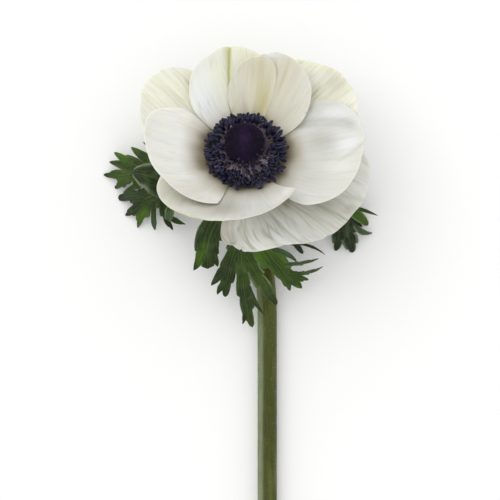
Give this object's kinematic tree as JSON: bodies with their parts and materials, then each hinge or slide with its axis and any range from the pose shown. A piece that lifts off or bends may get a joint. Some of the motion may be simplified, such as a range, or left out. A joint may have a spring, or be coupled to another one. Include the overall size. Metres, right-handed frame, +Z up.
{
  "type": "anemone flower",
  "caption": "White anemone, one open cut flower with a navy centre and divided green leaves, lying with its stem along the surface and its head turned up.",
  "frame": {"origin": "middle of the footprint, on the surface that the flower lies on", "axes": "+Y along the stem from its cut end towards the flower, +Z up out of the surface and into the open flower's face"},
  "size_m": [0.0998, 0.1996, 0.0675],
  "materials": {
    "tepal_white": "soft satin, thin and slightly translucent, creamy white with fine veins",
    "stem_green": "soft green, ridged along its length",
    "leaf_green": "matt dark green with a grey-green bloom and fine veins",
    "receptacle_green": "matt pale green",
    "pistil_purple": "velvety purple-black",
    "stamen_navy": "satin navy-black with violet highlights"
  },
  "bodies": {
    "root": {"leaf_front": "leaf_green", "leaf_left": "leaf_green", "leaf_right": "leaf_green", "pistil_dome": "pistil_purple", "receptacle": "receptacle_green", "stamen_inner_01": "stamen_navy", "stamen_inner_02": "stamen_navy", "stamen_inner_03": "stamen_navy", "stamen_inner_04": "stamen_navy", "stamen_inner_05": "stamen_navy", "stamen_inner_06": "stamen_navy", "stamen_inner_07": "stamen_navy", "stamen_inner_08": "stamen_navy", "stamen_inner_09": "stamen_navy", "stamen_inner_10": "stamen_navy", "stamen_middle_01": "stamen_navy", "stamen_middle_02": "stamen_navy", "stamen_middle_03": "stamen_navy", "stamen_middle_04": "stamen_navy", "stamen_middle_05": "stamen_navy", "stamen_middle_06": "stamen_navy", "stamen_middle_07": "stamen_navy", "stamen_middle_08": "stamen_navy", "stamen_middle_09": "stamen_navy", "stamen_middle_10": "stamen_navy", "stamen_middle_11": "stamen_navy", "stamen_middle_12": "stamen_navy", "stamen_middle_13": "stamen_navy", "stamen_middle_14": "stamen_navy", "stamen_outer_01": "stamen_navy", "stamen_outer_02": "stamen_navy", "stamen_outer_03": "stamen_navy", "stamen_outer_04": "stamen_navy", "stamen_outer_05": "stamen_navy", "stamen_outer_06": "stamen_navy", "stamen_outer_07": "stamen_navy", "stamen_outer_08": "stamen_navy", "stamen_outer_09": "stamen_navy", "stamen_outer_10": "stamen_navy", "stamen_outer_11": "stamen_navy", "stamen_outer_12": "stamen_navy", "stamen_outer_13": "stamen_navy", "stamen_outer_14": "stamen_navy", "stamen_outer_15": "stamen_navy", "stamen_outer_16": "stamen_navy", "stem": "stem_green", "tepal_left": "tepal_white", "tepal_low_left": "tepal_white", "tepal_outer_left": "tepal_white", "tepal_outer_low": "tepal_white", "tepal_outer_right": "tepal_white", "tepal_right": "tepal_white", "tepal_top_front": "tepal_white", "tepal_top_left": "tepal_white", "tepal_top_right": "tepal_white"}
  },
  "joints": []
}
